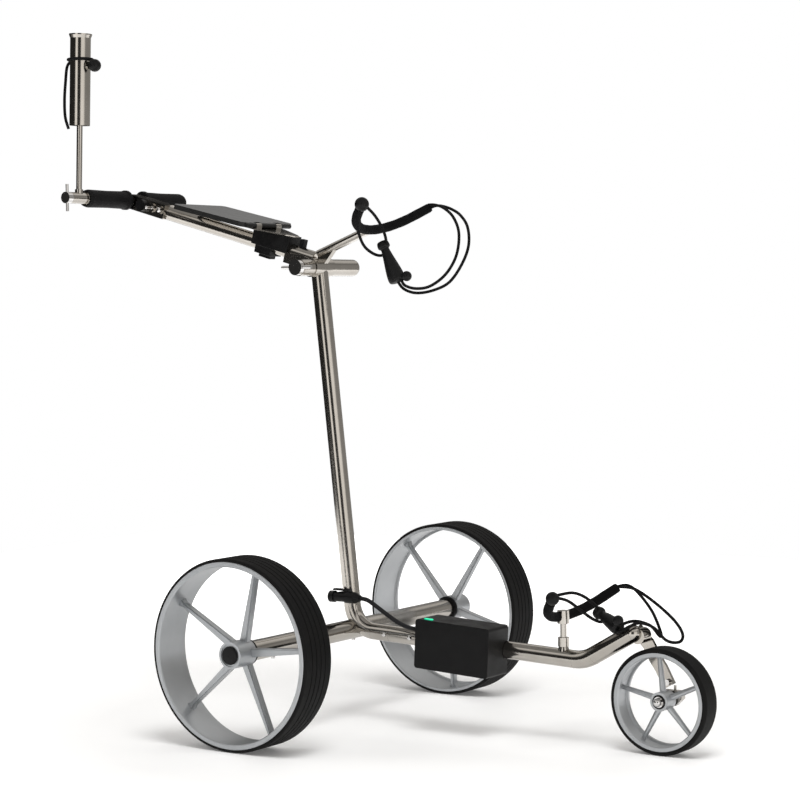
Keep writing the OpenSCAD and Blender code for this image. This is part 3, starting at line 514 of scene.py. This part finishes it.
def umbrella_band_route():
    """Once round the umbrella tube, then down its rear side with the free end."""
    pivot = joint_place("umbrella_tilt")
    band_z = 1109.5
    band_r = (UMBRELLA_D + UMBRELLA_STRAP_D) / 2 + 0.7 * MM
    middle = Vector((
        pivot.x + (band_z * MM - pivot.z) * math.tan(UMBRELLA_LEAN), UMBRELLA_Y, band_z * MM,
    ))
    band = [
        middle + band_r * Vector((math.cos(math.radians(a)), math.sin(math.radians(a)), 0))
        for a in range(195, 532, 24)
    ]
    drop = [(-480, 1100), (-485, 1072), (-488, 1042), (-487, 1014), (-480, 994)]
    return band + [on_axle(x, UMBRELLA_Y / MM - 3, z) for x, z in drop]


def make_cord(name, points, diameter, body, node, slot, material=None, **facts):
    route = smooth_route(points, CORD_STEPS)
    piece = sweep(name, route, diameter / 2)
    dress(piece, body, slot, material, [node])
    return piece


def make_cords():
    strap = {"diameter": BUNGEE_D, "slot": "elastic", "stiffness": "medium", "lay": "hanging"}
    thick_strap = {**strap, "diameter": UMBRELLA_STRAP_D}
    make_cord("upper_strap_short", routed(UPPER_SHORT), body="frame", node="upper_bungee_short", **strap)
    make_cord(
        "upper_strap_long", routed(UPPER_LONG), body="frame", node="upper_bungee_long",
        with_pieces=[UPPER_TOGGLE], **strap,
    )
    make_cord(
        "lower_strap_short", routed(LOWER_SHORT), body="lower_bracket", node="lower_bungee_short",
        **strap,
    )
    make_cord(
        "lower_strap_long", routed(LOWER_LONG), body="lower_bracket", node="lower_bungee_long",
        with_pieces=[LOWER_TOGGLE], **strap,
    )
    make_cord(
        "lead", routed(LEAD), LEAD_D, "frame", "battery_lead", "black_plastic", LEAD_JACKET,
        stiffness="medium", lay="hanging",
    )
    make_cord(
        "umbrella_strap", umbrella_band_route(), body="umbrella_arm", node="umbrella_elastic",
        **thick_strap,
    )


def lathe(name, profile, base, along, sides=40):
    """A turned piece: profile gives (distance along, radius) in millimetres."""
    axis = along.normalized()
    side = axis.orthogonal().normalized()
    other = axis.cross(side)

    def build(shape):
        rings = [
            [shape.verts.new(base + axis * d * MM + max(r, 0.05) * MM * (
                math.cos(math.tau * k / sides) * side + math.sin(math.tau * k / sides) * other))
             for k in range(sides)]
            for d, r in profile
        ]
        for a, b in zip(rings, rings[1:]):
            for k in range(sides):
                n = (k + 1) % sides
                shape.faces.new((a[k], a[n], b[n], b[k]))
        shape.faces.new(rings[0])
        shape.faces.new(rings[-1])
        bmesh.ops.recalc_face_normals(shape, faces=shape.faces)

    return new_mesh(name, build)


def rounded(profile, steps=3):
    """The same profile with its corners rounded off."""
    for _ in range(steps):
        cut = [profile[0]]
        for (d0, r0), (d1, r1) in zip(profile, profile[1:]):
            cut.append((0.75 * d0 + 0.25 * d1, 0.75 * r0 + 0.25 * r1))
            cut.append((0.25 * d0 + 0.75 * d1, 0.25 * r0 + 0.75 * r1))
        cut.append(profile[-1])
        profile = cut
    return profile


def join(pieces, name):
    """One object from several. Their surfaces still cross: make_toggle fuses them."""
    whole = bmesh.new()
    for piece in pieces:
        whole.from_mesh(piece.data)
        bpy.data.objects.remove(piece)
    mesh = bpy.data.meshes.new(name)
    whole.to_mesh(mesh)
    whole.free()
    made = bpy.data.objects.new(name, mesh)
    bpy.context.scene.collection.objects.link(made)
    return made


def ball(name, at, radius):
    steps = 16
    angles = [math.pi * i / steps for i in range(steps + 1)]
    profile = [(-radius * math.cos(a), radius * math.sin(a)) for a in angles]
    return lathe(name, profile, at, Vector((0, 0, 1)))


HOOK_R = 8.3
FUSE_VOXEL = 0.0009
FUSE_SMOOTHING = 6


def make_toggle(name, head, tail, knob, fat, body, node):
    """A strap's hook: a collar, a waist that flares to a thick tail, and the hook's round end."""
    head, tail, knob = (on_axle(*p) for p in (head, tail, knob))
    long = (tail - head).length / MM
    reach = (knob - tail).length / MM
    handle = lathe(name + "_grip", rounded([
        (0, 0), (0, 8.4), (3, 9.6), (9, 10.4), (11.2, 9.6), (12.5, 6.6), (16, 6.9),
        (long * 0.45, 9.0), (long * 0.8, fat - 1.0), (long, fat), (long + 5, fat - 1.5), (long + 6, 0),
    ]), head, tail - head)
    end = ball(name + "_hook", knob, HOOK_R)
    neck = lathe(name + "_neck", rounded([
        (-2, 0), (-2, 6.2), (reach * 0.5, 5.2), (reach + 2, 6.2), (reach + 2, 0),
    ]), tail, knob - tail, 24)
    piece = join([handle, end, neck], name)
    fuse = piece.modifiers.new("fuse", "REMESH")
    fuse.mode = "VOXEL"
    fuse.voxel_size = FUSE_VOXEL
    smooth = piece.modifiers.new("smooth", "SMOOTH")
    smooth.iterations = FUSE_SMOOTHING
    apply_modifiers(piece)
    piece.data.polygons.foreach_set("use_smooth", [True] * len(piece.data.polygons))
    return dress(piece, body, "black_plastic", None, [node])


UPPER_TOGGLE = make_toggle(
    "upper_hook", (100, -45, 787), (128, -45, 727), (147, -45, 731), 14.2,
    "frame", "upper_toggle",
)
LOWER_TOGGLE = make_toggle(
    "lower_hook", (464, -4, 211), (510, -22, 192), (516, -30, 203), 12.2,
    "lower_bracket", "lower_toggle",
)
make_cords()

# Foam sleeves ------------------------------------------------------------------------

FOAM_R = 8 * MM


def cradle_route(at, radius, bend, straight, tilt, swing, trims):
    """The line of a cradle's rod, from its right end to its left. trims shorten or lengthen the ends."""
    bend, tilt, swing = (math.radians(a) for a in (bend, tilt, swing))
    flat = []
    elbow = Vector((radius * (1 - math.cos(bend)), radius * math.sin(bend)))
    arm = Vector((math.sin(bend), math.cos(bend)))
    right_end = elbow + (straight + trims[0]) * arm
    left_end = elbow + (straight + trims[1]) * arm
    steps_arm, steps_arc = 8, 48
    for k in range(steps_arm):
        p = right_end.lerp(elbow, k / steps_arm)
        flat.append((p.x, -p.y))
    for k in range(steps_arc + 1):
        a = bend * (2 * k / steps_arc - 1)
        flat.append((radius * (1 - math.cos(a)), radius * math.sin(a)))
    for k in range(1, steps_arm + 1):
        p = elbow.lerp(left_end, k / steps_arm)
        flat.append((p.x, p.y))
    place = Matrix.Rotation(swing, 3, "Z") @ Matrix.Rotation(-tilt, 3, "Y")
    return [on_axle(*(Vector(at) + place @ Vector((x, y, 0)))) for x, y in flat]


def foam_radii(route):
    """Slightly uneven, rounded at both cut ends."""
    radii = []
    last = len(route) - 1
    for i in range(len(route)):
        wobble = 0.12 * MM * math.sin(i * 0.9) + 0.08 * MM * math.sin(i * 2.3 + 1)
        radii.append(FOAM_R - 0.25 * MM + wobble)
    for end, step in ((0, 1), (last, -1)):
        radii[end] = FOAM_R - 1.4 * MM
        radii[end + step] = FOAM_R - 0.35 * MM
    return radii


def make_foam(name, route, body, node):
    piece = sweep(name, route, foam_radii(route), sides=28)
    piece.data.uv_layers.remove(piece.data.uv_layers[0])
    dress(piece, body, "foam", None, [node])


make_foam(
    "upper_foam_sleeve",
    cradle_route((43.5, 0, 808.5), 97, 55, 28, 34, 0, (-9, 4)), "frame", "upper_foam",
)
make_foam(
    "lower_foam_sleeve",
    cradle_route((398.5, 0, 197.5), 76, 58, 30, 40, -8, (-9, 4)), "lower_bracket", "lower_foam",
)

# Softened edges ------------------------------------------------------------------------


FLAT_ANGLE = math.radians(0.5)
SHARP_ANGLE = math.radians(50)


def soften(name, node, width, slot):
    """The node's own shape with its sharp edges rounded over."""
    piece = bpy.data.objects.new(name, nodes[node].data.copy())
    bpy.context.scene.collection.objects.link(piece)
    piece.matrix_world = nodes[node].matrix_world.copy()
    shape = bmesh.new()
    shape.from_mesh(piece.data)
    bmesh.ops.remove_doubles(shape, verts=shape.verts, dist=1e-6)
    bmesh.ops.dissolve_limit(
        shape, angle_limit=FLAT_ANGLE, verts=shape.verts, edges=shape.edges, delimit={"NORMAL"},
    )
    sharp = [
        edge for edge in shape.edges
        if len(edge.link_faces) == 2 and edge.calc_face_angle(0) > SHARP_ANGLE
    ]
    bmesh.ops.bevel(
        shape, geom=sharp, offset=width, offset_type="OFFSET", segments=3, profile=0.5,
        affect="EDGES", clamp_overlap=True,
    )
    shape.to_mesh(piece.data)
    shape.free()
    piece.data.polygons.foreach_set("use_smooth", [True] * len(piece.data.polygons))
    weigh = piece.modifiers.new("weigh", "WEIGHTED_NORMAL")
    weigh.keep_sharp = True
    body = nodes[node]["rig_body"]
    apply_modifiers(piece)
    return dress(piece, body, slot, None, [node])


soften("battery_shell", "battery_case", 1.4 * MM, "black_plastic")
soften("clamp_body", "holder_clamp", 1.2 * MM, "black_plastic")
soften("steering_block", "axle_block", 0.8 * MM, "polished_steel")

# Light and floor -----------------------------------------------------------------------


# Brightness by bearing: 0.5 is towards the camera, less is to its left, more is to its right
WALL_BANDS = [
    (0.0, 0.03), (0.36, 0.03), (0.385, 1.5), (0.43, 1.5), (0.45, 0.04), (0.53, 0.04), (0.55, 1.4),
    (0.64, 1.3), (0.68, 0.40), (0.97, 0.36),
]
# Brightness by height: 0 is straight down and 1 is straight up
CAP_BANDS = [
    (0.0, 0.45), (0.35, 0.40), (0.72, 0.10), (0.80, 0.9), (0.86, 1.0), (0.9, 0.25), (1.0, 0.5),
]
# How far the caps take over from the walls, by height
CAP_SHARE = [(0.0, 1.0), (0.30, 1.0), (0.40, 0.0), (0.66, 0.0), (0.78, 1.0)]


def make_world():
    """A pale studio with dark flags: bands that run up its walls, a light ceiling and a light floor."""
    world = bpy.data.worlds.new("studio")
    bpy.context.scene.world = world
    world.use_nodes = True
    tree = world.node_tree
    tree.nodes.clear()
    link = tree.links.new

    def ramp(value, stops):
        made = tree.nodes.new("ShaderNodeValToRGB")
        while len(made.color_ramp.elements) < len(stops):
            made.color_ramp.elements.new(0.5)
        for element, (position, level) in zip(made.color_ramp.elements, stops):
            element.position = position
            element.color = (level, level * 0.975, level * 0.94, 1)
        link(value, made.inputs["Fac"])
        return made.outputs["Color"]

    coordinates = tree.nodes.new("ShaderNodeTexCoord")
    turned = tree.nodes.new("ShaderNodeVectorRotate")
    turned.rotation_type = "Z_AXIS"
    turned.inputs["Angle"].default_value = math.pi / 2 - CAMERA_YAW
    split = tree.nodes.new("ShaderNodeSeparateXYZ")
    around = tree.nodes.new("ShaderNodeMath")
    around.operation = "ARCTAN2"
    bearing = tree.nodes.new("ShaderNodeMapRange")
    bearing.inputs["From Min"].default_value = -math.pi
    bearing.inputs["From Max"].default_value = math.pi
    height = tree.nodes.new("ShaderNodeMapRange")
    height.inputs["From Min"].default_value = -1
    walls_or_caps = tree.nodes.new("ShaderNodeMixRGB")
    shine = tree.nodes.new("ShaderNodeBackground")
    plain = tree.nodes.new("ShaderNodeBackground")
    path = tree.nodes.new("ShaderNodeLightPath")
    mix = tree.nodes.new("ShaderNodeMixShader")
    out = tree.nodes.new("ShaderNodeOutputWorld")

    link(coordinates.outputs["Generated"], turned.inputs["Vector"])
    link(turned.outputs[0], split.inputs[0])
    link(split.outputs["Y"], around.inputs[0])
    link(split.outputs["X"], around.inputs[1])
    link(around.outputs[0], bearing.inputs["Value"])
    link(split.outputs["Z"], height.inputs["Value"])
    walls = ramp(bearing.outputs["Result"], WALL_BANDS)
    caps = ramp(height.outputs["Result"], CAP_BANDS)
    blend = ramp(height.outputs["Result"], CAP_SHARE)
    link(blend, walls_or_caps.inputs["Fac"])
    link(walls, walls_or_caps.inputs[1])
    link(caps, walls_or_caps.inputs[2])
    link(walls_or_caps.outputs[0], shine.inputs["Color"])
    plain.inputs["Color"].default_value = (1, 1, 1, 1)
    link(path.outputs["Is Camera Ray"], mix.inputs["Fac"])
    link(shine.outputs[0], mix.inputs[1])
    link(plain.outputs[0], mix.inputs[2])
    link(mix.outputs[0], out.inputs["Surface"])


def make_light(name, place, target, size, power):
    data = bpy.data.lights.new(name, "AREA")
    data.shape = "RECTANGLE"
    data.size, data.size_y = size
    data.energy = power
    lamp = bpy.data.objects.new(name, data)
    bpy.context.scene.collection.objects.link(lamp)
    lamp.location = place
    lamp.visible_glossy = False
    lamp.rotation_euler = (Vector(target) - Vector(place)).to_track_quat("-Z", "Y").to_euler()


FLOOR_HALF = 2.4
GLOW_FROM, GLOW_TO = 0.5, 2.2


def make_floor():
    def build(shape):
        half = FLOOR_HALF
        corners = [(-half, -half), (half, -half), (half, half), (-half, half)]
        shape.faces.new([shape.verts.new((x, y, 0)) for x, y in corners])

    floor = new_mesh("floor", build, smooth=False)
    t = Tree("floor_white", Roughness=0.7, Specular_IOR_Level=0.1, Emission_Strength=1.0)
    # Painted light: the floor's emission is faint under the trolley and rises to near white towards its
    # edges, so that the floor fades into the white backdrop
    reach = t.node("ShaderNodeVectorMath", operation="LENGTH")
    t.link(t.place(), reach.inputs[0])
    far = t.spread(reach.outputs["Value"], GLOW_FROM, GLOW_TO, 0, 1)
    glow = t.colours(far, [(0.0, (0.1,) * 3), (1.0, (0.95,) * 3)])
    t.link(glow, t.shader.inputs["Emission Color"])
    t.colour(t.colours(t.noise(3, 3), [(0.3, (0.87, 0.87, 0.87)), (0.7, (0.9, 0.9, 0.9))]))
    floor.data.materials.append(t.material)


# Each lamp's name, place, aim, size and power in watts
LAMPS = [
    ("key", (1.2, -1.2, 3.6), (0, 0, 0.3), (1.6, 1.6), 80),
    ("fill", (-2.6, -2.2, 1.8), (0, 0, 0.5), (1.6, 2.4), 14),
    ("back", (0.0, 3.2, 2.6), (0, 0, 0.5), (3.0, 1.6), 30),
]

bpy.context.scene.view_settings.view_transform = "Standard"
make_world()
make_floor()
for lamp in LAMPS:
    make_light(*lamp)
